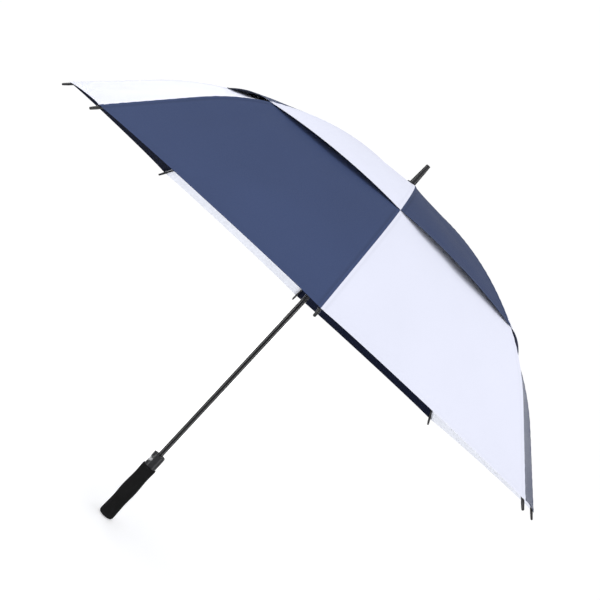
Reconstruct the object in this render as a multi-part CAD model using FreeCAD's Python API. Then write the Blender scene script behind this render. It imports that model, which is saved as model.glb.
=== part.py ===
import FreeCAD, Part
import math
import os

# Golf umbrella, open, in millimetres: shaft along +Z, butt of the grip at the origin, ferrule up.
# Rib 1 points along -Y and the ribs count towards +X. Gore 1 lies between ribs 1 and 2.
# The release button faces -X.

# ---- overall sizes
rib_count = 8
flange_height = 953.0       # butt of the grip to the seat of the ferrule's flange
ferrule_height = 55.0       # flange seat to the end of the ferrule
open_radius = 680.0         # shaft axis to the end of a rib tip

# ---- outline of the open canopy in a rib's plane, along the cloth's outer face
hole_drop = 2.0             # flange seat down to the edge of that hole
peak_radius = 35.0          # where the cloth comes down onto the ribs
peak_drop = 13.0            # flange seat down to that place
peak_power = 2.2            # how sharply the little peak rises
vent_radius = 424.0         # hem of the vent canopy, where the rib also flexes
bend_radius = 545.0         # beyond this the rib is straight
crown_slope = math.radians(1.0)
vent_slope = math.radians(29.0)
rim_slope = math.radians(44.6)

# ---- cloth
cloth = 0.6                 # thickness
layer_gap = 0.3             # clear space between the two canopies along a rib
seam_gap = 0.3              # clear space between neighbouring gores
rib_gap = 1.4               # clear space between the lower canopy and a rib
lower_top_radius = 320.0    # upper edge of the lower canopy, under the vent canopy
lift_start_radius = 230.0   # the vent canopy stands off between ribs from here
vent_lift = 8.0             # how far its hem stands off half way between ribs
vent_hem_rise = 5.0         # its hem curves up the panel by this much
hem_rise = 4.0              # the rim hem curves up the panel by this much
tip_showing = 15.5          # length of rib tip beyond the cloth

# ---- ribs, stretchers and their joints
rib_rod = 2.0               # radius of the rod
ring_radius = 11.5          # circle that the crown and runner wires follow
wire = 0.8                  # radius of those wires
clip_radius = 345.0         # where the stretcher is clipped to the rib
clip_drop = 9.0             # rib centre down to the clip's pin
fold_angle = math.radians(72.0)
eye = 3.0                   # radius of the rib and stretcher eyes
eye_width = 2.0
wire_clearance = 0.2
side_clearance = 0.3
neck_height = 3.4           # flattened end of a rib or stretcher
neck_length = 7.5
clip_sleeve = 3.1
clip_length = 14.0
clip_ear = 1.2
clip_pin = 1.0
pin_clearance = 0.1
knuckle = 2.6               # flex joint between the two lengths of a rib
knuckle_eye = 1.6
knuckle_ear = 1.1
knuckle_pin = 0.6
knuckle_side_clearance = 0.25
knuckle_pin_clearance = 0.05
knuckle_reach = 3.4
channel_width = 4.4
channel_height = 3.6
channel_wall = 0.7

# ---- rib tip
tip_length = 26.0
tip_radius = 3.0
tip_end_radius = 2.4
tip_sleeve_radius = 2.8
tip_bore_depth = 19.0
tip_fit = 0.05
tip_edge = 0.9

# ---- shaft and what slides on it
shaft_radius = 6.0
shaft_wall = 0.8
shaft_foot = 30.0
shaft_in_ferrule = 10.0
hub_rim = 3.5               # width of the crown's and the runner's head outside the wire
hub_half_height = 5.0
groove_clearance = 0.05
neck_wall = 1.0
cloth_clearance = 1.5       # cloth's hole round the crown's neck
runner_clearance = 0.1
runner_length = 90.0
sleeve_wall = 3.4
skirt_wall = 4.9
skirt_height = 12.0
slider_clearance = 0.1
slider_height = 22.0
drive_pin = 1.5
drive_pin_drop = 50.0       # runner wire down to the drive pin
slot_clearance = 0.1
spring_clearance = 1.0      # spring inside the shaft's bore
spring_wire = 0.6
spring_pitch = 20.0
spring_seat = 60.0

# ---- ferrule
flange_overlap = 4.0        # flange beyond the cloth's hole
flange_thickness = 3.2
flange_lip = 1.7
flange_lip_drop = 3.0
ferrule_wall = 1.8
ferrule_end = 5.2
ferrule_edge = 0.8

# ---- handle
grip_profile = [(6.0, 17.5), (42.0, 16.4), (74.0, 17.7), (114.0, 16.1), (137.0, 17.0)]
grip_top = 139.0
grip_flat = 12.0            # radius of the flat on the butt
grip_floor = 8.0
grip_corner = (16.0, 1.7)   # a point on the butt's rounded edge
grip_lip = 1.2
core_wall = 5.5
collar_wall = 8.5
collar_height = 32.0
flat_depth = 1.3            # how far the flats on the collar's sides are cut in
collar_edge = 1.2
guard_lip = 0.7             # the lip above the button beyond the collar
guard_height = 7.0
guard_half_width = 7.0
button_height = 154.0
button_rim = 0.7            # button's edge beyond its prongs
button_depth = 6.6          # rim of the button's face to its back
back_clearance = 0.6        # pressed button's back to the shaft
button_dish = 1.6
button_travel = 1.4
button_gap = 0.3
prong_clearance = 0.5       # prong beside the shaft
prong_width = 2.0
prong_height = 6.0
prong_reach = 4.0
button_spring_radius = 1.9
button_spring_wire = 0.25
button_spring_turns = 5
button_pocket = 2.5
button_pocket_depth = 3.6

# ---- sizes that follow from what they fit
hub_radius = ring_radius + hub_rim
slot_floor = ring_radius - eye - side_clearance
crown_neck = shaft_radius + neck_wall
hole_radius = crown_neck + cloth_clearance
sleeve_radius = shaft_radius + runner_clearance + sleeve_wall
skirt_radius = shaft_radius + runner_clearance + skirt_wall
spring_radius = shaft_radius - shaft_wall - spring_wire - spring_clearance
ferrule_base = shaft_radius + ferrule_wall
flange_radius = hole_radius + flange_overlap
core_radius = shaft_radius + core_wall
collar_radius = shaft_radius + collar_wall
collar_flat = collar_radius - flat_depth
guard_radius = collar_radius + guard_lip
button_back = shaft_radius + button_travel + back_clearance
button_face = button_back + button_depth
prong_inner = shaft_radius + prong_clearance
button_radius = prong_inner + prong_width + button_rim

# ---- places that follow from the sizes
origin = FreeCAD.Vector(0, 0, 0)
along_y = FreeCAD.Vector(0, 1, 0)
along_x = FreeCAD.Vector(1, 0, 0)
up = FreeCAD.Vector(0, 0, 1)
half_panel = math.pi / rib_count
rib_depth = 2 * cloth + layer_gap + rib_gap + rib_rod
lower_depth = cloth + layer_gap
peak_height = flange_height - peak_drop
inner_bend = (vent_radius - peak_radius) / (math.sin(vent_slope) - math.sin(crown_slope))
inner_centre = (peak_radius - inner_bend * math.sin(crown_slope),
                peak_height - inner_bend * math.cos(crown_slope))
outer_bend = (bend_radius - vent_radius) / (math.sin(rim_slope) - math.sin(vent_slope))
outer_centre = (bend_radius - outer_bend * math.sin(rim_slope),
                inner_centre[1] + (inner_bend - outer_bend) * math.cos(vent_slope))
tip_station = open_radius + rib_depth * math.sin(rim_slope)
corner_radius = tip_station - tip_showing * math.cos(rim_slope)
collar_top = grip_top + collar_height


def outline(radius, depth=0.0):
    """(radius, height) at a depth under the canopy's outer face, where that face has this radius."""
    if radius < peak_radius:
        run = peak_radius - hole_radius
        rise = peak_drop - hole_drop
        share = (peak_radius - radius) / run
        slope = crown_slope + math.atan(rise * peak_power * share ** (peak_power - 1) / run)
        height = peak_height + rise * share ** peak_power
    elif radius <= vent_radius:
        slope = math.asin((radius - inner_centre[0]) / inner_bend)
        height = inner_centre[1] + inner_bend * math.cos(slope)
    elif radius <= bend_radius:
        slope = math.asin((radius - outer_centre[0]) / outer_bend)
        height = outer_centre[1] + outer_bend * math.cos(slope)
    else:
        slope = rim_slope
        height = outer_centre[1] + outer_bend * math.cos(slope) - (radius - bend_radius) * math.tan(slope)
    return radius - depth * math.sin(slope), height - depth * math.cos(slope)


def rib_line(radius):
    """(radius, height, slope) on a rib's centre line inside the flex joint."""
    bend = inner_bend - rib_depth
    slope = math.asin((radius - inner_centre[0]) / bend)
    return radius, inner_centre[1] + bend * math.cos(slope), slope


def in_plane(point):
    return FreeCAD.Vector(point[0], 0, point[1])


crown_pivot = in_plane(rib_line(ring_radius))
clip_slope = math.asin((clip_radius - inner_centre[0]) / inner_bend)
clip_centre = in_plane(outline(clip_radius, rib_depth))
clip_pivot = in_plane(outline(clip_radius, rib_depth + clip_drop))
runner_pivot = FreeCAD.Vector(ring_radius, 0, 2 * clip_pivot.z - crown_pivot.z)
stretcher_length = (clip_pivot - crown_pivot).Length
flex_pivot = in_plane(outline(vent_radius, rib_depth))
open_angle = math.acos((crown_pivot.z - clip_pivot.z) / stretcher_length)
runner_travel = 2 * stretcher_length * (math.cos(open_angle - fold_angle) - math.cos(open_angle))
drive_pin_height = runner_pivot.z - drive_pin_drop
slider_foot = drive_pin_height - slider_height / 2


# ---- shapes that several pieces share
def cylinder(radius, start, direction, length):
    return Part.makeCylinder(radius, length, start, direction)


def cross_pin(radius, half_width, x=0.0, z=0.0):
    return cylinder(radius, FreeCAD.Vector(x, -half_width, z), along_y, 2 * half_width)


def block(x0, x1, y0, y1, z0, z1):
    return Part.makeBox(x1 - x0, y1 - y0, z1 - z0, FreeCAD.Vector(x0, y0, z0))


def placed(shape, point, slope):
    """A shape drawn along +X, turned down by a slope and moved to a point of the rib's plane."""
    moved = shape.copy()
    moved.rotate(origin, along_y, math.degrees(slope))
    moved.translate(point)
    return moved


def revolved(points, axis=up, base=origin):
    wire_shape = Part.makePolygon([FreeCAD.Vector(p[0], 0, p[1]) for p in points + points[:1]])
    return Part.Face(wire_shape).revolve(base, axis, 360)


def bent(face, centre, slope_1, slope_2):
    """A section drawn at slope 0 above a bend's centre, swept round it from one slope to another."""
    middle = in_plane(centre)
    start = face.copy()
    start.rotate(middle, along_y, math.degrees(slope_1))
    return start.revolve(middle, along_y, math.degrees(slope_2 - slope_1))


def rod_section(centre, bend):
    place = FreeCAD.Vector(centre[0], 0, centre[1] + bend - rib_depth)
    return Part.Face(Part.Wire(Part.makeCircle(rib_rod, place, along_x)))


def neck_section(centre, bend):
    height = centre[1] + bend - rib_depth
    corners = [(-1, -1), (1, -1), (1, 1), (-1, 1), (-1, -1)]
    points = [FreeCAD.Vector(centre[0], y * eye_width / 2, height + z * neck_height / 2) for y, z in corners]
    return Part.Face(Part.makePolygon(points))


def fused(shapes):
    return shapes[0].fuse(shapes[1:]).removeSplitter()


def coil(radius, thickness, pitch, height):
    """A coil spring standing on the origin along +Z, its wire eight-sided."""
    helix = Part.makeHelix(pitch, height, radius)
    corners = [2 * math.pi * (n + 0.5) / 8 for n in range(8)] + [math.pi / 8]
    section = Part.makePolygon([FreeCAD.Vector(radius + thickness * math.cos(a), 0, thickness * math.sin(a))
                                for a in corners])
    return Part.Wire(helix.Edges).makePipeShell([section], True, True)


# ---- ribs and stretchers, drawn for a rib along +X
def make_rib_inner():
    """Crown eye, flattened neck, bent rod, stretcher clip and the fork of the flex joint."""
    crown_eye = cross_pin(eye, eye_width / 2, crown_pivot.x, crown_pivot.z)
    bend = inner_bend - rib_depth
    crown_end = rib_line(ring_radius)[2]
    rod_start = crown_end + neck_length / bend
    rod_end = vent_slope - knuckle_reach / bend
    overlap = 1.0 / bend
    neck = bent(neck_section(inner_centre, inner_bend), inner_centre, crown_end, rod_start + overlap)
    rod = bent(rod_section(inner_centre, inner_bend), inner_centre, rod_start, rod_end)
    body = fused([crown_eye, neck, rod, make_clip(), make_fork()])
    hole = cross_pin(wire + wire_clearance, eye_width, crown_pivot.x, crown_pivot.z)
    return body.cut(hole)


def make_clip():
    inner = eye_width / 2 + side_clearance
    parts = [cylinder(clip_sleeve, FreeCAD.Vector(-clip_length / 2, 0, 0), along_x, clip_length),
             cross_pin(clip_pin, inner + clip_ear, 0, -clip_drop)]
    for side in (1, -1):
        y0, y1 = sorted((side * inner, side * (inner + clip_ear)))
        ear = cylinder(eye, FreeCAD.Vector(0, y0, -clip_drop), along_y, clip_ear)
        parts += [ear, block(-eye, eye, y0, y1, -clip_drop, 0)]
    return placed(fused(parts), clip_centre, clip_slope)


def make_fork():
    inner = knuckle_eye / 2 + knuckle_side_clearance
    outer = inner + knuckle_ear
    parts = [cross_pin(knuckle_pin, outer)]
    for side in (1, -1):
        y0, y1 = sorted((side * inner, side * outer))
        parts += [cylinder(knuckle, FreeCAD.Vector(0, y0, 0), along_y, knuckle_ear),
                  block(-knuckle_reach - 1, 0, y0, y1, -rib_rod + 0.3, rib_rod - 0.3)]
    return placed(fused(parts), flex_pivot, vent_slope)


def make_rib_outer():
    """Eye of the flex joint, then a rod that bends down and runs straight to the tip."""
    flex_eye = cross_pin(knuckle, knuckle_eye / 2)
    neck = block(0, knuckle_reach + 1, -knuckle_eye / 2, knuckle_eye / 2, -neck_height / 2, neck_height / 2)
    joint = placed(fused([flex_eye, neck]), flex_pivot, vent_slope)
    start = vent_slope + knuckle_reach / (outer_bend - rib_depth)
    curve = bent(rod_section(outer_centre, outer_bend), outer_centre, start, rim_slope)
    straight_start = in_plane(outline(bend_radius, rib_depth))
    direction = FreeCAD.Vector(math.cos(rim_slope), 0, -math.sin(rim_slope))
    reach = (tip_station - bend_radius) / math.cos(rim_slope) - tip_length + tip_bore_depth
    straight = cylinder(rib_rod, straight_start, direction, reach)
    hole = placed(cross_pin(knuckle_pin + knuckle_pin_clearance, knuckle_eye), flex_pivot, vent_slope)
    return fused([joint, curve, straight]).cut(hole)


def make_tip():
    sleeve = tip_length - tip_showing
    points = [(-tip_length, 0), (-tip_length, tip_sleeve_radius), (-tip_length + sleeve, tip_sleeve_radius),
              (-tip_length + sleeve + 1, tip_radius), (-tip_edge, tip_end_radius),
              (0, tip_end_radius - tip_edge), (0, 0)]
    shell = revolved(points, along_x)
    bore_radius = rib_rod + tip_fit
    bore = cylinder(bore_radius, FreeCAD.Vector(-tip_length, 0, 0), along_x, tip_bore_depth)
    return placed(shell.cut(bore), in_plane(outline(tip_station, rib_depth)), rim_slope)


def make_stretcher():
    """Pressed steel channel, open towards the rib, with a flattened eye at each end."""
    length = stretcher_length
    half_eye = eye_width / 2
    ends = [cross_pin(eye, half_eye), cross_pin(eye, half_eye, length)]
    neck = neck_length + 2
    ends += [block(x, x + neck, -half_eye, half_eye, -neck_height / 2, neck_height / 2)
             for x in (0, length - neck)]
    start, end = neck - 1, length - neck + 1
    half_channel = channel_width / 2
    channel = block(start, end, -half_channel, half_channel, -channel_height / 2, channel_height / 2)
    inside = half_channel - channel_wall
    channel = channel.cut(block(start + 2, end - 2, -inside, inside,
                                -channel_height / 2 + channel_wall, channel_height / 2 + 1))
    body = fused(ends + [channel])
    body = body.cut(cross_pin(wire + wire_clearance, eye_width))
    body = body.cut(cross_pin(clip_pin + pin_clearance, eye_width, length))
    return placed(body, runner_pivot, open_angle - math.pi / 2)


# ---- cloth, drawn for a gore centred on +X
def cloth_section(stations, depth, side, lift):
    """Closed outline of a gore's cloth: down its middle for side 0, else along the rib on that side."""
    angle = side * half_panel
    shrink = 1.0 if side else math.cos(half_panel)
    outward = FreeCAD.Vector(math.cos(angle), math.sin(angle), 0)
    back = FreeCAD.Vector(math.sin(angle), -math.cos(angle), 0) * (side * seam_gap / 2)

    def row(level):
        points = []
        for station in stations:
            radius, height = outline(station, level - (0 if side else lift(station)))
            points.append(outward * (radius * shrink) + back + up * height)
        return points

    def curve(points):
        spline = Part.BSplineCurve()
        steps = [n / (len(points) - 1) for n in range(len(points))]
        spline.interpolate(Points=points, Parameters=steps)
        return spline.toShape()

    outer, inner = row(depth), row(depth + cloth)
    edges = [curve(outer), Part.makeLine(outer[-1], inner[-1]),
             curve(inner[::-1]), Part.makeLine(inner[0], outer[0])]
    return Part.Wire(edges)


def spread(first, last, count):
    return [first + (last - first) * n / (count - 1) for n in range(count)]


def gore(first, last, rise, depth, count, lift):
    """One gore between two ribs, its hem curving up by a rise in the middle."""
    sections = [cloth_section(spread(first, last - (0 if side else rise), count), depth, side, lift)
                for side in (-1, 0, 1)]
    return Part.makeLoft(sections, True, True)


def flat_lift(station):
    return 0.0


def vent_lift_at(station):
    share = max(0.0, (station - lift_start_radius) / (vent_radius - lift_start_radius))
    return vent_lift * share ** 2


def make_lower_gore():
    return gore(lower_top_radius, corner_radius, hem_rise, lower_depth, 13, flat_lift)


def make_vent_gore():
    return gore(hole_radius, vent_radius, vent_hem_rise, 0.0, 25, vent_lift_at)


# ---- shaft, crown, runner and springs
def make_shaft():
    top = flange_height + shaft_in_ferrule
    outside = cylinder(shaft_radius, up * shaft_foot, up, top - shaft_foot)
    inside = cylinder(shaft_radius - shaft_wall, up * shaft_foot, up, top - shaft_foot)
    half_slot = drive_pin + slot_clearance
    low, high = drive_pin_height - runner_travel, drive_pin_height
    slot = block(-half_slot, half_slot, 0, shaft_radius + 1, low, high)
    ends = [cylinder(half_slot, FreeCAD.Vector(0, 0, z), along_y, shaft_radius + 1) for z in (low, high)]
    return outside.cut([inside, slot] + ends)


def hub_slots(pivot_height, low, high):
    """Radial slots for the eyes, and the groove for the wire that threads them."""
    width = eye_width + 2 * side_clearance
    one = block(slot_floor, hub_radius + 1, -width / 2, width / 2, low, high)
    cuts = [Part.makeTorus(ring_radius, wire + groove_clearance, up * pivot_height)]
    for number in range(rib_count):
        slot = one.copy()
        slot.rotate(origin, up, number * 360 / rib_count)
        cuts.append(slot)
    return cuts


def make_crown():
    middle = crown_pivot.z
    head = cylinder(hub_radius, up * (middle - hub_half_height), up, 2 * hub_half_height)
    neck = cylinder(crown_neck, up * middle, up, flange_height - middle)
    bore = cylinder(shaft_radius, up * (middle - 20), up, 60)
    roof = middle + eye + 2 * side_clearance
    return fused([head, neck]).cut([bore] + hub_slots(middle, middle - hub_half_height - 1, roof))


def make_runner():
    middle = runner_pivot.z
    foot = middle - runner_length
    head = cylinder(hub_radius, up * (middle - hub_half_height - 1), up, 2 * hub_half_height + 1)
    sleeve = cylinder(sleeve_radius, up * foot, up, runner_length)
    skirt = cylinder(skirt_radius, up * foot, up, skirt_height)
    bore = cylinder(shaft_radius + runner_clearance, up * (foot - 1), up, runner_length + 20)
    floor = middle - eye - 2 * side_clearance
    pin_hole = cylinder(drive_pin, up * drive_pin_height, along_y, sleeve_radius + 1)
    cuts = [bore, pin_hole] + hub_slots(middle, floor, middle + hub_half_height + 1)
    return fused([head, sleeve, skirt]).cut(cuts)


def make_wire(height):
    return Part.makeTorus(ring_radius, wire, up * height)


def make_slider():
    radius = shaft_radius - shaft_wall - slider_clearance
    body = cylinder(radius, up * slider_foot, up, slider_height)
    pin = cylinder(drive_pin, up * drive_pin_height, along_y, sleeve_radius)
    return fused([body, pin])


def make_opening_spring():
    height = slider_foot - spring_seat - 2 * spring_wire
    spring = coil(spring_radius, spring_wire, spring_pitch, height)
    spring.translate(up * (spring_seat + spring_wire))
    return spring


def make_ferrule():
    top = flange_height + ferrule_height
    flange_top = flange_height + flange_thickness
    inner_lip = flange_radius - flange_lip
    points = [(0, flange_height), (inner_lip, flange_height), (inner_lip, flange_height - flange_lip_drop),
              (flange_radius, flange_height - flange_lip_drop), (flange_radius, flange_top - 1),
              (flange_radius - 1, flange_top), (ferrule_base, flange_top),
              (ferrule_end, top - ferrule_edge), (ferrule_end - ferrule_edge, top), (0, top)]
    bore = cylinder(shaft_radius, up * flange_height, up, shaft_in_ferrule)
    return revolved(points).cut(bore)


# ---- handle
def button_scoop():
    """Round trough across the collar that lets the thumb reach the button."""
    deepest = button_back - button_travel - button_gap
    pressed_rim = button_face - button_travel - deepest
    chord = pressed_rim ** 2 + button_radius ** 2 - button_gap ** 2
    radius = chord / (2 * (pressed_rim - button_gap))
    centre = FreeCAD.Vector(-deepest - radius, -guard_radius - 1, button_height)
    return cylinder(radius, centre, along_y, 2 * guard_radius + 2)


def prong_slots():
    tall = prong_height / 2 + button_gap
    far = prong_reach + button_travel + button_gap
    slots = []
    for side in (1, -1):
        near, wide = prong_inner - button_gap, prong_inner + prong_width + button_gap
        y0, y1 = sorted((side * near, side * wide))
        slots.append(block(-guard_radius, far, y0, y1, button_height - tall, button_height + tall))
    return slots


def make_handle_core():
    core = cylinder(core_radius, up * grip_floor, up, grip_top - grip_floor)
    profile = [(0, grip_top), (collar_radius, grip_top), (collar_radius, collar_top - collar_edge),
               (collar_radius - collar_edge, collar_top), (0, collar_top)]
    flats = block(-collar_radius, collar_radius, -collar_flat, collar_flat, grip_top, collar_top)
    collar = revolved(profile).common(flats)
    guard = cylinder(guard_radius, up * (collar_top - guard_height), up, guard_height)
    guard = guard.common(block(-guard_radius, 0, -guard_half_width, guard_half_width, grip_top, collar_top))
    body = fused([core, collar, guard])
    bore = cylinder(shaft_radius, up * shaft_foot, up, collar_top)
    spigot = cylinder(shaft_radius - shaft_wall, up * (shaft_foot - 1), up, spring_seat - shaft_foot + 1)
    return fused([body.cut([bore, button_scoop()] + prong_slots()), spigot])


def make_grip():
    """Moulded foam sleeve, closed and rounded at the butt."""
    profile = [FreeCAD.Vector(r, 0, z) for z, r in grip_profile]
    side = Part.BSplineCurve()
    side.interpolate(profile)
    first, last = profile[0], profile[-1]
    butt = FreeCAD.Vector(grip_flat, 0, 0)
    corner = Part.Arc(butt, in_plane(grip_corner), first).toShape()
    ring = [last, FreeCAD.Vector(last.x - grip_lip, 0, grip_top), FreeCAD.Vector(core_radius, 0, grip_top),
            FreeCAD.Vector(core_radius, 0, grip_floor), FreeCAD.Vector(0, 0, grip_floor), origin, butt]
    lines = [Part.makeLine(a, b) for a, b in zip(ring, ring[1:])]
    outline_wire = Part.Wire([side.toShape()] + lines + [corner])
    return Part.Face(outline_wire).revolve(origin, up, 360)


def make_button():
    """Round dished thumb button with two prongs that straddle the shaft."""
    rim = FreeCAD.Vector(-button_face, 0, button_radius)
    dish = Part.Arc(FreeCAD.Vector(-button_face + button_dish, 0, 0),
                    FreeCAD.Vector(-button_face + 0.75 * button_dish, 0, button_radius / 2), rim).toShape()
    back = FreeCAD.Vector(-button_back, 0, 0)
    radius = (button_radius ** 2 + button_depth ** 2) / (2 * button_depth)
    middle = FreeCAD.Vector(-button_back - radius + math.sqrt(radius ** 2 - (button_radius / 2) ** 2), 0,
                            button_radius / 2)
    bowl = Part.Arc(rim, middle, back).toShape()
    axis = Part.makeLine(back, FreeCAD.Vector(-button_face + button_dish, 0, 0))
    lens = Part.Face(Part.Wire([dish, bowl, axis])).revolve(origin, along_x, 360)
    prongs = []
    for side in (1, -1):
        y0, y1 = sorted((side * prong_inner, side * (prong_inner + prong_width)))
        prongs.append(block(-button_face + 2 * button_dish, prong_reach, y0, y1,
                            -prong_height / 2, prong_height / 2))
    pocket = cylinder(button_pocket, FreeCAD.Vector(-button_back - button_pocket_depth + 1, 0, 0), along_x,
                      button_pocket_depth)
    shape = fused([lens] + prongs).cut(pocket)
    shape.translate(up * button_height)
    return shape


def make_button_spring():
    start = -button_back - button_pocket_depth + 1 + 2 * button_spring_wire
    end = -(button_back - button_travel - button_gap) - 2 * button_spring_wire
    pitch = (end - start) / button_spring_turns
    spring = coil(button_spring_radius, button_spring_wire, pitch, end - start)
    spring.rotate(origin, along_y, 90)
    spring.translate(FreeCAD.Vector(start, 0, button_height))
    return spring


# ---- all the nodes
def save(name, shape):
    shape.exportStep(os.path.join("parts", name + ".step"))


def save_around(name, shape, places_on=0.0):
    """A copy for each rib, or for the gore past it: number 1 along -Y, then towards +X."""
    for number in range(rib_count):
        copy = shape.copy()
        copy.rotate(origin, up, -90 + (number + places_on) * 360 / rib_count)
        save("%s_%d" % (name, number + 1), copy)


def main():
    os.makedirs("parts", exist_ok=True)
    save_around("rib_inner", make_rib_inner())
    save_around("rib_outer", make_rib_outer())
    save_around("rib_tip", make_tip())
    save_around("stretcher", make_stretcher())
    save_around("lower_gore", make_lower_gore(), 0.5)
    save_around("vent_gore", make_vent_gore(), 0.5)
    save("shaft", make_shaft())
    save("crown", make_crown())
    save("crown_wire", make_wire(crown_pivot.z))
    save("runner", make_runner())
    save("runner_wire", make_wire(runner_pivot.z))
    save("spring_slider", make_slider())
    save("opening_spring", make_opening_spring())
    save("ferrule", make_ferrule())
    save("handle_core", make_handle_core())
    save("foam_grip", make_grip())
    save("release_button", make_button())
    save("button_spring", make_button_spring())
    print("crown pivot", crown_pivot, "clip pivot", clip_pivot, "runner pivot", runner_pivot)
    print("flex pivot", flex_pivot, "stretcher", stretcher_length, "runner travel", runner_travel)
    print("corner radius", corner_radius, "tip end", outline(tip_station, rib_depth))


main()
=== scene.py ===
import math

import bmesh
import bpy
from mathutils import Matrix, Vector, noise


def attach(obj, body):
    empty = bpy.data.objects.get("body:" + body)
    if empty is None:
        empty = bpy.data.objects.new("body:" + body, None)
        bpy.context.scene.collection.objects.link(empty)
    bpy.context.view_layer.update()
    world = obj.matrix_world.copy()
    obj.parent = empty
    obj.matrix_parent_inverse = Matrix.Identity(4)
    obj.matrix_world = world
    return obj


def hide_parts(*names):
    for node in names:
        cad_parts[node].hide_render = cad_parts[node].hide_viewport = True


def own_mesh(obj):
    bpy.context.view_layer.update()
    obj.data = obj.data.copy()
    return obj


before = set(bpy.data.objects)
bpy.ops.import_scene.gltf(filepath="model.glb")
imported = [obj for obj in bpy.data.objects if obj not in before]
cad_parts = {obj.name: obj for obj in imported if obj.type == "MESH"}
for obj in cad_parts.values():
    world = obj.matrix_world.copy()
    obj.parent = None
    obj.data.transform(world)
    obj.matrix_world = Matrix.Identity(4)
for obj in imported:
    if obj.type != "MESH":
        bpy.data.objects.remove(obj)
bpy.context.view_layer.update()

# ---- Shaft
# Straight steel tube under gloss black enamel, slotted at the back for the runner's drive pin.
# The enamel is smooth, with faint smears and fine rub marks along the tube where the runner slides.
enamel_black = (0.007, 0.007, 0.008, 1)


class Finish:
    """One output of a shader node. Sums written with it add their own nodes."""

    def __init__(self, tree, socket):
        self.tree = tree
        self.socket = socket

    def make(self, kind, settings, inputs, output=0):
        """A node of any kind: its settings first, then a value or a link for each of its sockets."""
        node = self.tree.nodes.new(kind)
        for name, value in settings.items():
            setattr(node, name, value)
        for name, value in inputs.items():
            if isinstance(value, Finish):
                self.tree.links.new(value.socket, node.inputs[name])
            else:
                node.inputs[name].default_value = value
        return Finish(self.tree, node.outputs[output] if node.outputs else None)

    def sum(self, operation, *values):
        return self.make("ShaderNodeMath", {"operation": operation}, dict(enumerate(values)))

    def __add__(self, other):
        return self.sum("ADD", self, other)

    def __sub__(self, other):
        return self.sum("SUBTRACT", self, other)

    def __rsub__(self, other):
        return self.sum("SUBTRACT", other, self)

    def __mul__(self, other):
        return self.sum("MULTIPLY", self, other)

    def __truediv__(self, other):
        return self.sum("DIVIDE", self, other)

    def __gt__(self, other):
        return self.sum("GREATER_THAN", self, other)

    def __lt__(self, other):
        return self.sum("LESS_THAN", self, other)

    __radd__ = __add__
    __rmul__ = __mul__

    def sine(self):
        return self.sum("SINE", self)

    def fraction(self):
        return self.sum("FRACT", self)

    def distance(self):
        return self.sum("ABSOLUTE", self)

    def clamped(self):
        return self.make("ShaderNodeMath", {"operation": "ADD", "use_clamp": True}, {0: self, 1: 0.0})

    def axis(self, letter):
        return self.make("ShaderNodeSeparateXYZ", {}, {0: self}, letter)

    def scaled(self, x, y, z):
        return self.make("ShaderNodeMapping", {}, {"Vector": self, "Scale": (x, y, z)})

    def grain(self, scale, detail=2.0, rough=0.5):
        inputs = {"Vector": self, "Scale": scale, "Detail": detail, "Roughness": rough}
        return self.make("ShaderNodeTexNoise", {}, inputs)

    def cells(self, scale):
        return self.make("ShaderNodeTexVoronoi", {}, {"Vector": self, "Scale": scale})

    def between(self, first, second):
        """A colour from first to second as this goes from 0 to 1."""
        inputs = {"Factor": self, 6: first, 7: second}
        return self.make("ShaderNodeMix", {"data_type": "RGBA"}, inputs, 2)

    def bump(self, strength, distance):
        return self.make("ShaderNodeBump", {}, {"Strength": strength, "Distance": distance, "Height": self})


def new_finish(name):
    """An empty material and its Object coordinates, to build a pattern on."""
    material = bpy.data.materials.new(name)
    material.use_nodes = True
    material.node_tree.nodes.clear()
    start = Finish(material.node_tree, None)
    return material, start.make("ShaderNodeTexCoord", {}, {}, "Object")


def finished(material, start, inputs):
    """The surface itself, from constants and from sums."""
    shader = start.make("ShaderNodeBsdfPrincipled", {}, inputs)
    start.make("ShaderNodeOutputMaterial", {}, {"Surface": shader})
    return material


def wear(finish, *nodes):
    """Give CAD nodes a finish."""
    for name in nodes:
        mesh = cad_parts[name].data
        mesh.materials.clear()
        mesh.materials.append(finish)


def enamel(name, colour, smears, scratches):
    material, place = new_finish(name)
    smear = place.grain(34, 3)
    rubbed = place.scaled(1, 1, 0.04).grain(2600, 2)
    return finished(material, place, {
        "Base Color": smear.between(colour, tuple(1.6 * c + 0.004 for c in colour[:3]) + (1,)),
        "Roughness": smear * smears + rubbed * scratches + 0.05,
        "Specular IOR Level": 0.4,
        "Coat Weight": 0.2,
        "Coat Roughness": 0.08,
        "Normal": (rubbed * 0.3 + smear).bump(0.12, 0.0002),
    })


wear(enamel("shaft enamel", enamel_black, 0.06, 0.05), "shaft")

# ---- Crown, runner and their wires
# The crown is pressed on the shaft and the runner slides on it, both moulded in black nylon.
# A ring of drawn steel wire lies in a groove of each and threads the eyes of the ribs or stretchers.
nylon_black = (0.017, 0.017, 0.019, 1)
steel_grey = (0.56, 0.56, 0.58, 1)


def moulded(name, colour, roughness, texture):
    """Moulded plastic with the fine spark-eroded grain of its tool and slightly polished high spots."""
    material, place = new_finish(name)
    fine = place.grain(2400, 2)
    cloudy = place.grain(60, 3)
    return finished(material, place, {
        "Base Color": cloudy.between(colour, tuple(1.5 * c + 0.003 for c in colour[:3]) + (1,)),
        "Roughness": cloudy * 0.14 + fine * 0.08 + (roughness - 0.11),
        "Normal": (fine * texture + cloudy * 0.4).bump(0.35, 0.00012),
    })


def drawn_wire(name):
    material, place = new_finish(name)
    streaks = place.grain(900, 3, 0.7)
    return finished(material, place, {
        "Base Color": streaks.between(steel_grey, (0.36, 0.36, 0.38, 1)),
        "Metallic": 1.0,
        "Roughness": streaks * 0.22 + 0.18,
        "Normal": streaks.bump(0.2, 0.0001),
    })


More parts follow.
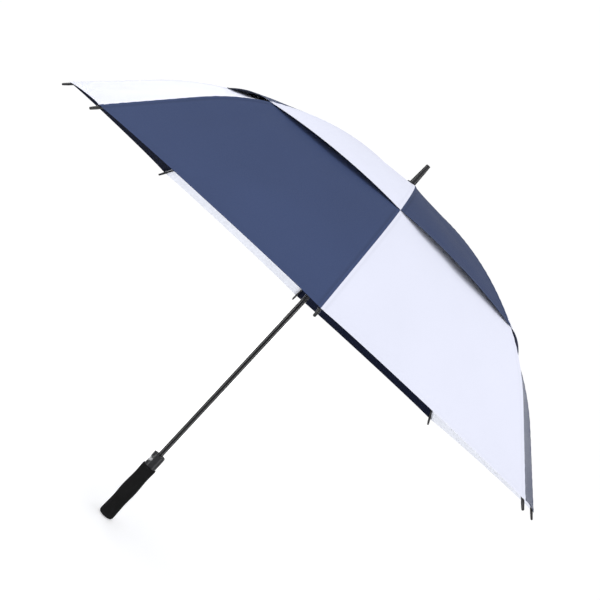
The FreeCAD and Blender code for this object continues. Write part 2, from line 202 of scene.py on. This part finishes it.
nylon = moulded("black nylon", nylon_black, 0.46, 0.6)
wire_steel = drawn_wire("drawn steel")
wear(nylon, "crown", "runner")
wear(wire_steel, "crown_wire", "runner_wire", "spring_slider")


def loose_copy(node, name):
    """A CAD node's mesh as a new piece, its triangles joined again."""
    bm = bmesh.new()
    bm.from_mesh(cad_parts[node].data)
    bmesh.ops.remove_doubles(bm, verts=bm.verts, dist=1e-6)
    return piece(bm, name)


def piece(bm, name, *finishes):
    mesh = bpy.data.meshes.new(name)
    bm.to_mesh(mesh)
    bm.free()
    mesh.shade_smooth()
    for finish in finishes:
        mesh.materials.append(finish)
    thing = bpy.data.objects.new(name, mesh)
    bpy.context.scene.collection.objects.link(thing)
    return thing


spring = loose_copy("opening_spring", "opening_spring_coil")
spring.data.materials.append(wire_steel)
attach(spring, "frame")
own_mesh(spring)
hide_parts("opening_spring")

# ---- Ribs
# Eight ribs of pulled glass-fibre rod, each with a clip for its stretcher and a flexing joint.
# Fine fibres show along the gloss black resin.
ribs = range(1, 9)
resin_black = (0.014, 0.014, 0.015, 1)


def pulled_rod(name):
    material, place = new_finish(name)
    fibres = place.grain(1500, 2, 0.6)
    patches = place.grain(90, 2)
    return finished(material, place, {
        "Base Color": fibres.between(resin_black, (0.034, 0.034, 0.036, 1)),
        "Roughness": fibres * 0.16 + patches * 0.12 + 0.16,
        "Coat Weight": 0.3,
        "Coat Roughness": 0.12,
        "Normal": fibres.bump(0.25, 0.0001),
    })


rod = pulled_rod("glass-fibre rod")
for rib in ribs:
    wear(rod, f"rib_inner_{rib}", f"rib_outer_{rib}")

# ---- Stretchers
# Pressed steel channels, black enamelled, each threaded on the runner's wire and pinned to a rib clip.
# The enamel is thinner than the shaft's, so it is duller and more rubbed.
for rib in ribs:
    wear(enamel(f"stretcher enamel {rib}", (0.016, 0.016, 0.017, 1), 0.22, 0.16), f"stretcher_{rib}")

# ---- Rib tips
# Black moulded caps pushed over the rib ends. The corner of the cloth is sewn to each.
# They are a little shinier than the other mouldings.
tip_nylon = moulded("tip nylon", (0.02, 0.02, 0.021, 1), 0.36, 0.4)
for rib in ribs:
    wear(tip_nylon, f"rib_tip_{rib}")

# ---- Lower canopy
# Eight gores of plain woven polyester, navy and white by turns, felled together over the ribs
# and hemmed at the rim. Each half gore goes with the rib it is sewn to.
half_panel = math.radians(22.5)
crown_slope, vent_slope, rim_slope = (math.radians(a) for a in (1.0, 29.0, 44.6))
flange_height = 0.953
hole_radius, peak_radius, vent_radius, bend_radius = 0.0085, 0.035, 0.424, 0.545
hole_drop, peak_drop, peak_power = 0.002, 0.013, 2.2
corner_radius = 0.6724
inner_bend = (vent_radius - peak_radius) / (math.sin(vent_slope) - math.sin(crown_slope))
inner_centre = (peak_radius - inner_bend * math.sin(crown_slope),
                flange_height - peak_drop - inner_bend * math.cos(crown_slope))
outer_bend = (bend_radius - vent_radius) / (math.sin(rim_slope) - math.sin(vent_slope))
outer_centre = (bend_radius - outer_bend * math.sin(rim_slope),
                inner_centre[1] + (inner_bend - outer_bend) * math.cos(vent_slope))
lower_top = 0.320
lower_depth = 0.0009
cloth_thickness = 0.0004
sharp_fold = 0.6
inside_slope = -0.3
seam_width = 0.0055
seam_rise = 0.0006
fold_edge = 0.0012
hem_width = 0.009
hem_thickness = 0.0004
lower_sag = 0.0045
lower_rise = 0.004
pucker_height = 0.0005
pucker_length = 0.019
pucker_reach = 0.02
drift = 0.0016
navy_out = (0.034, 0.058, 0.150, 1)
# Painted shade: the inside of the navy cloth is coloured far darker than its outside, for the shade under
# the canopy.
navy_in_painted_shade = (0.006, 0.009, 0.026, 1)
white_out = (0.685, 0.704, 0.822, 1)
# Painted light: the inside of the white cloth is coloured lighter than its outside, for light shining
# through the cloth.
white_in_painted_backlight = (0.74, 0.76, 0.83, 1)


def outline(radius, depth=0.0):
    """(radius, height, slope) of the canopy in a rib's plane, at a depth under its outer face."""
    if radius < peak_radius:
        run = peak_radius - hole_radius
        rise = peak_drop - hole_drop
        share = (peak_radius - radius) / run
        slope = crown_slope + math.atan(rise * peak_power * share ** (peak_power - 1) / run)
        height = flange_height - peak_drop + rise * share ** peak_power
    elif radius <= vent_radius:
        slope = math.asin((radius - inner_centre[0]) / inner_bend)
        height = inner_centre[1] + inner_bend * math.cos(slope)
    elif radius <= bend_radius:
        slope = math.asin((radius - outer_centre[0]) / outer_bend)
        height = outer_centre[1] + outer_bend * math.cos(slope)
    else:
        slope = rim_slope
        height = outer_centre[1] + outer_bend * math.cos(slope)
        height -= (radius - bend_radius) * math.tan(slope)
    return radius - depth * math.sin(slope), height - depth * math.cos(slope), slope


def eased(share):
    share = min(1.0, max(0.0, share))
    return share * share * (3 - 2 * share)


def towards(angle):
    return Vector((math.cos(angle), math.sin(angle), 0))


class HalfGore:
    """The cloth from the seam over one rib to the middle of the panel beside it."""

    def __init__(self, rib, side, first, last, rise, depth):
        self.rib_angle = math.radians(-90 + 45 * (rib - 1))
        self.side = side
        self.first, self.last, self.rise, self.depth = first, last, rise, depth
        self.middle = self.rib_angle + side * half_panel
        self.chord = side * towards(self.middle + math.pi / 2)

    def station(self, across, down):
        """Radius in the rib's plane, the hem curving up towards the middle of the panel."""
        last = self.last - self.rise * (1 - (1 - across) ** 2)
        return self.first + (last - self.first) * (1 - (1 - down) ** 1.5)

    def from_seam(self, across, down):
        return across ** 1.6 * self.station(across, down) * math.sin(half_panel)

    def from_hem(self, across, down):
        end = outline(self.station(across, 1.0))
        here = outline(self.station(across, down))
        return math.hypot(end[0] - here[0], end[1] - here[1])

    def height(self, across, down, point):
        """How far the cloth stands off the smooth surface."""
        seam = self.from_seam(across, down)
        hem = self.from_hem(across, down)
        ridge = seam_rise * (1 - eased((seam - seam_width) / fold_edge))
        fold = hem_thickness * (1 - eased((hem - hem_width) / fold_edge))
        wander = noise.noise(point * 9.0)
        pucker = math.sin(2 * math.pi * hem / pucker_length + 4.0 * wander) + 1
        pucker *= 0.5 * pucker_height * math.exp(-seam / pucker_reach) * eased(hem / 0.01)
        away = eased(seam / 0.06) * eased(hem / 0.03)
        ripple = drift * noise.noise(point * 13.0 + Vector((3.1, 7.7, 1.3))) * away
        return ridge + fold + pucker + ripple + self.shape(across, down)

    def place(self, across, down):
        seam = self.from_seam(across, down)
        radius, level, slope = outline(self.station(across, down), self.depth)
        spread = seam * radius / max(self.station(across, down), 1e-6)
        point = radius * towards(self.rib_angle) + spread * self.chord
        point.z = level
        turn = eased(seam / 0.014)
        facing = towards(self.rib_angle + self.side * half_panel * turn)
        steep = math.tan(slope) / (1 + turn * (math.cos(half_panel) - 1))
        normal = (facing * steep + Vector((0, 0, 1))).normalized()
        return point + normal * self.height(across, down, point)

    def cloth(self, name, columns, rows, *finishes):
        bm = bmesh.new()
        bmesh.ops.create_grid(bm, x_segments=columns, y_segments=rows, size=0.5)
        sewn = bm.loops.layers.uv.new("sewn")
        for face in bm.faces:
            for loop in face.loops:
                across, down = loop.vert.co.x + 0.5, loop.vert.co.y + 0.5
                loop[sewn].uv = (self.from_seam(across, down), self.from_hem(across, down))
        for vert in bm.verts:
            vert.co = self.place(vert.co.x + 0.5, vert.co.y + 0.5)
        bm.normal_update()
        if sum(face.normal.z for face in bm.faces) < 0:
            bmesh.ops.reverse_faces(bm, faces=bm.faces)
        bmesh.ops.solidify(bm, geom=bm.faces[:], thickness=cloth_thickness)
        bm.normal_update()
        for face in bm.faces:
            # Faces turned down take the second, inside finish: painted shade (darker) on the lower navy
            # cloth, and painted light through the cloth (lighter) on the white cloth and the navy vent
            # cloth.
            face.material_index = 1 if face.normal.z < inside_slope else 0
        for edge in bm.edges:
            edge.smooth = edge.calc_face_angle(0) < sharp_fold
        return piece(bm, name, *finishes)


class LowerHalf(HalfGore):
    def shape(self, across, down):
        """Stretched between its seams, the cloth draws in a little along the middle of the panel."""
        reach = (self.station(across, down) - self.first) / (self.last - self.first)
        return -lower_sag * math.sin(math.pi * min(1.0, reach)) * (1 - (1 - across ** 1.6) ** 2)


def stitch_row(across, place):
    """One inside a row of stitches, nought outside it."""
    return (across - place).distance() < stitch_half


weave_pitch = 0.0006
stitch_pitch = 0.0032
stitch_share = 0.68
stitch_half = 0.0003
seam_rows = (0.0012, 0.0048)
hem_row_place = 0.0075
# Width of the band of painted shadow beside each seam ridge.
seam_painted_shadow_width = 0.006


def woven(name, colour, dark, gloss):
    """Plain weave, with two rows of stitches along each seam and one along the hem, and a painted shadow in
    a band beside each seam ridge.
    """
    material, place = new_finish(name)
    sewn = place.make("ShaderNodeUVMap", {"uv_map": "sewn"}, {})
    seam, hem = sewn.axis("X"), sewn.axis("Y")
    turns = 2 * math.pi / weave_pitch
    weave = (seam * turns).sine() * (hem * turns).sine()
    shade = place.grain(5, 2)
    slub = place.grain(420, 2)
    dashes = (hem * (1 / stitch_pitch)).fraction() < stitch_share
    hem_dashes = (seam * (1 / stitch_pitch)).fraction() < stitch_share
    near, far = seam_rows
    rows = stitch_row(seam, near) + stitch_row(seam, far)
    stitches = rows * dashes + stitch_row(hem, hem_row_place) * hem_dashes
    # Painted shadow: the cloth colour is darkened in a band just outside each seam ridge, where the ridge
    # shades it.
    seam_painted_shadow = (1 - (seam - seam_width) / seam_painted_shadow_width).clamped() * (seam > seam_width)
    # The tone adds the painted seam shadow to the random tone of the dye, the slubs and the stitches.
    tone = (shade * 0.5 + slub * 0.15 + seam_painted_shadow * 0.45 + stitches * 0.22).clamped()
    relief = weave * 0.22 + slub * 0.5 + stitches * 0.9
    return finished(material, place, {
        "Base Color": tone.between(colour, dark),
        "Roughness": slub * 0.16 + (0.62 - 0.08),
        "Sheen Weight": 0.25 * gloss,
        "Sheen Roughness": 0.4,
        "Specular IOR Level": gloss,
        "Normal": relief.bump(0.35, 0.00025),
    })


def darker(colour, share):
    return tuple(share * c for c in colour[:3]) + (1,)


cloths = {
    "navy": (woven("navy cloth", navy_out, darker(navy_out, 0.66), 0.22),
             woven("navy cloth, inside, painted shade", navy_in_painted_shade, darker(navy_in_painted_shade, 0.7), 0.06)),
    "white": (woven("white cloth", white_out, darker(white_out, 0.88), 0.2),
              woven("white cloth, inside, painted backlight", white_in_painted_backlight, darker(white_in_painted_backlight, 0.88), 0.12)),
}
for rib in ribs:
    for side, panel in ((1, rib), (-1, rib - 1 or 8)):
        colour = "white" if panel % 2 else "navy"
        hand = "left" if side > 0 else "right"
        half = LowerHalf(rib, side, lower_top, corner_radius, lower_rise, lower_depth)
        sheet = half.cloth(f"lower_gore_{panel}_{hand}_half", 34, 52, *cloths[colour])
        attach(sheet, f"rib_end_{rib}")
        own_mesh(sheet)
        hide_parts(f"lower_gore_{panel}")

# ---- Vent canopy
# Eight shorter gores over the top, white over navy and navy over white, tacked down along the ribs.
# Between ribs their hem stands off the lower canopy, so that wind blows out through the gap.
vent_depth = 0.0
vent_rise = 0.005
vent_lift = 0.008
lift_start = 0.230
# Painted light: the inside of the navy vent cloth is coloured lighter than its outside, for light shining
# through the cap.
navy_vent_painted_backlight = (0.080, 0.098, 0.150, 1)
painted_backlit_lining = {"navy": woven("navy vent cloth, inside, painted backlight", navy_vent_painted_backlight, darker(navy_vent_painted_backlight, 0.8), 0.1),
          "white": cloths["white"][1]}


class VentHalf(HalfGore):
    def shape(self, across, down):
        """Flat over the ribs, standing off more and more towards the hem between them."""
        station = self.station(across, down)
        share = max(0.0, (station - lift_start) / (vent_radius - lift_start))
        bow = 1 - (1 - across ** 1.6) ** 2
        slack = math.sin(math.pi * min(1.0, station / lift_start)) if station < lift_start else 0.0
        return (vent_lift * share ** 2 - 0.002 * slack) * bow


for rib in ribs:
    for side, panel in ((1, rib), (-1, rib - 1 or 8)):
        colour = "navy" if panel % 2 else "white"
        hand = "left" if side > 0 else "right"
        half = VentHalf(rib, side, hole_radius, vent_radius, vent_rise, vent_depth)
        sheet = half.cloth(f"vent_gore_{panel}_{hand}_half", 28, 60, cloths[colour][0], painted_backlit_lining[colour])
        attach(sheet, f"rib_{rib}")
        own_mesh(sheet)
        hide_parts(f"vent_gore_{panel}")

# ---- Ferrule
# Turned spike with a flange that clamps the middle of the canopy on the crown.
# It is moulded in hard black plastic, satin.
wear(moulded("ferrule plastic", (0.018, 0.018, 0.02, 1), 0.34, 0.35), "ferrule")

# ---- Handle core and collar
# Hard moulded core that holds the foot of the shaft, with the collar that shows above the grip.
# Its collar is satin dark grey, scooped out round the release button.
wear(moulded("collar plastic", (0.022, 0.022, 0.025, 1), 0.32, 0.5), "handle_core")

# ---- Foam grip
# One waisted sleeve of dense black foam, moulded closed over the butt and glued on the core.
# Its skin is matt, with tiny open cells.
grip_waist = [(0.0175, 0.006), (0.0164, 0.042), (0.0177, 0.074), (0.0161, 0.114), (0.0170, 0.137)]
butt_edge = [(0.0, 0.0), (0.012, 0.0), (0.0148, 0.0006), (0.016, 0.0017), (0.01715, 0.0036)]
grip_lip = [(0.0166, 0.1386), (0.0158, 0.139)]
core_hole = [(0.0117, 0.139), (0.0117, 0.0086), (0.0, 0.0086)]


def waisted(stops, steps):
    """The stops of (radius, height) joined by a flowing line: level at the waists and the swells."""
    line = []
    for (r0, z0), (r1, z1) in zip(stops, stops[1:]):
        for step in range(steps):
            share = step / steps
            line.append((r0 + (r1 - r0) * eased(share), z0 + (z1 - z0) * share))
    return line + [stops[-1]]


def lathed(profile, turns, name, *finishes):
    """Spin a profile of (radius, height) round the shaft."""
    bm = bmesh.new()
    verts = [bm.verts.new((r, 0, z)) for r, z in profile]
    edges = [bm.edges.new(pair) for pair in zip(verts, verts[1:])]
    bmesh.ops.spin(bm, geom=verts + edges, cent=(0, 0, 0), axis=(0, 0, 1), angle=2 * math.pi,
                   steps=turns, use_merge=True)
    bmesh.ops.remove_doubles(bm, verts=bm.verts, dist=1e-6)
    bmesh.ops.recalc_face_normals(bm, faces=bm.faces)
    return piece(bm, name, *finishes)


def foam(name):
    material, place = new_finish(name)
    cells = place.cells(1500)
    pores = (0.5 - cells).clamped()
    worn = place.grain(28, 3)
    return finished(material, place, {
        "Base Color": worn.between((0.005, 0.005, 0.0054, 1), (0.0105, 0.0105, 0.011, 1)),
        "Roughness": worn * 0.12 + 0.76,
        "Specular IOR Level": 0.18,
        "Normal": (cells + worn * 0.8 - pores).bump(0.5, 0.0003),
    })


grip_profile = butt_edge + waisted(grip_waist, 6) + grip_lip + core_hole
grip = lathed(grip_profile, 96, "foam_grip_sleeve", foam("black foam"))
smooth = grip.modifiers.new("skin", "SUBSURF")
smooth.levels = smooth.render_levels = 1
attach(grip, "frame")
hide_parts("foam_grip")

# ---- Release button
# Dished silver thumb button in the collar, on a small spring, with prongs on both sides of the shaft.
# Pressing it frees the runner so that the spring opens the frame.
button_silver = (0.86, 0.87, 0.89, 1)


def plated(name, colour):
    material, place = new_finish(name)
    fine = place.grain(700, 2)
    rubbed = place.grain(110, 3)
    return finished(material, place, {
        "Base Color": rubbed.between(colour, darker(colour, 0.86)),
        "Metallic": 0.3,
        "Roughness": rubbed * 0.12 + fine * 0.06 + 0.17,
        "Coat Weight": 0.6,
        "Coat Roughness": 0.08,
        "Normal": fine.bump(0.08, 0.0001),
    })


wear(plated("button silver", button_silver), "release_button")
press_spring = loose_copy("button_spring", "button_spring_coil")
press_spring.data.materials.append(wire_steel)
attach(press_spring, "frame")
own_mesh(press_spring)
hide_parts("button_spring")

# ---- Floor, light and camera
# Plain pale floor under the butt, a soft sky all round and one large soft light from above.
floor_size = 60.0
bm = bmesh.new()
bmesh.ops.create_grid(bm, x_segments=1, y_segments=1, size=floor_size / 2)
bmesh.ops.translate(bm, verts=bm.verts, vec=(0, 0, -0.0004))
floor_finish, floor_place = new_finish("floor")
floor_tone = floor_place.grain(3, 2)
finished(floor_finish, floor_place, {
    "Base Color": floor_tone.between((0.93, 0.93, 0.93, 1), (0.91, 0.91, 0.91, 1)),
    "Roughness": 0.85,
    "Emission Color": (1, 1, 1, 1),
    "Emission Strength": 0.34,
})
floor = piece(bm, "floor", floor_finish)
floor.visible_glossy = False

world = bpy.data.worlds.new("studio")
world.use_nodes = True
sky = world.node_tree.nodes["Background"]
sky.inputs["Color"].default_value = (1, 1, 1, 1)
mirrored = Finish(world.node_tree, None).make("ShaderNodeLightPath", {}, {}, "Is Glossy Ray")
world.node_tree.links.new((1.02 - mirrored * 0.86).socket, sky.inputs["Strength"])
bpy.context.scene.world = world

sun_data = bpy.data.lights.new("key", "SUN")
sun_data.energy = 1.0
sun_data.angle = math.radians(35)
sun = bpy.data.objects.new("key", sun_data)
sun.rotation_euler = Vector((-0.55, -0.35, 1.0)).to_track_quat("Z", "Y").to_euler()
bpy.context.scene.collection.objects.link(sun)

strip_distance, strip_height = 3.0, 0.7
for angle in (-150, -30, 60, 120):
    strip_data = bpy.data.lights.new("strip", "AREA")
    strip_data.shape = "RECTANGLE"
    strip_data.size, strip_data.size_y = 0.9, 2.6
    strip_data.energy = 44.0
    strip = bpy.data.objects.new("strip", strip_data)
    outward = towards(math.radians(angle))
    strip.visible_diffuse = False
    strip.location = outward * strip_distance + Vector((0, 0, strip_height))
    strip.rotation_euler = outward.to_track_quat("Z", "Y").to_euler()
    bpy.context.scene.collection.objects.link(strip)

azimuth, elevation, roll = (math.radians(a) for a in (-2.16, -0.55, 42.85))
target = Vector((0, 0, 0.6178))
distance = 2.0536
back = Vector((math.sin(azimuth) * math.cos(elevation), -math.cos(azimuth) * math.cos(elevation),
               math.sin(elevation)))
lens = bpy.data.cameras.new("camera")
lens.lens = 58.08
lens.sensor_width = 36
lens.shift_x, lens.shift_y = -0.0063, 0.0008
camera = bpy.data.objects.new("camera", lens)
camera.location = target + distance * back
level = back.to_track_quat("Z", "Y").to_matrix()
right = level.col[0] * math.cos(roll) + level.col[1] * math.sin(roll)
upward = level.col[1] * math.cos(roll) - level.col[0] * math.sin(roll)
turned = level.copy()
turned.col[0], turned.col[1] = right, upward
camera.rotation_euler = turned.to_euler()
bpy.context.scene.collection.objects.link(camera)
bpy.context.scene.camera = camera
bpy.context.scene.view_settings.view_transform = "Standard"
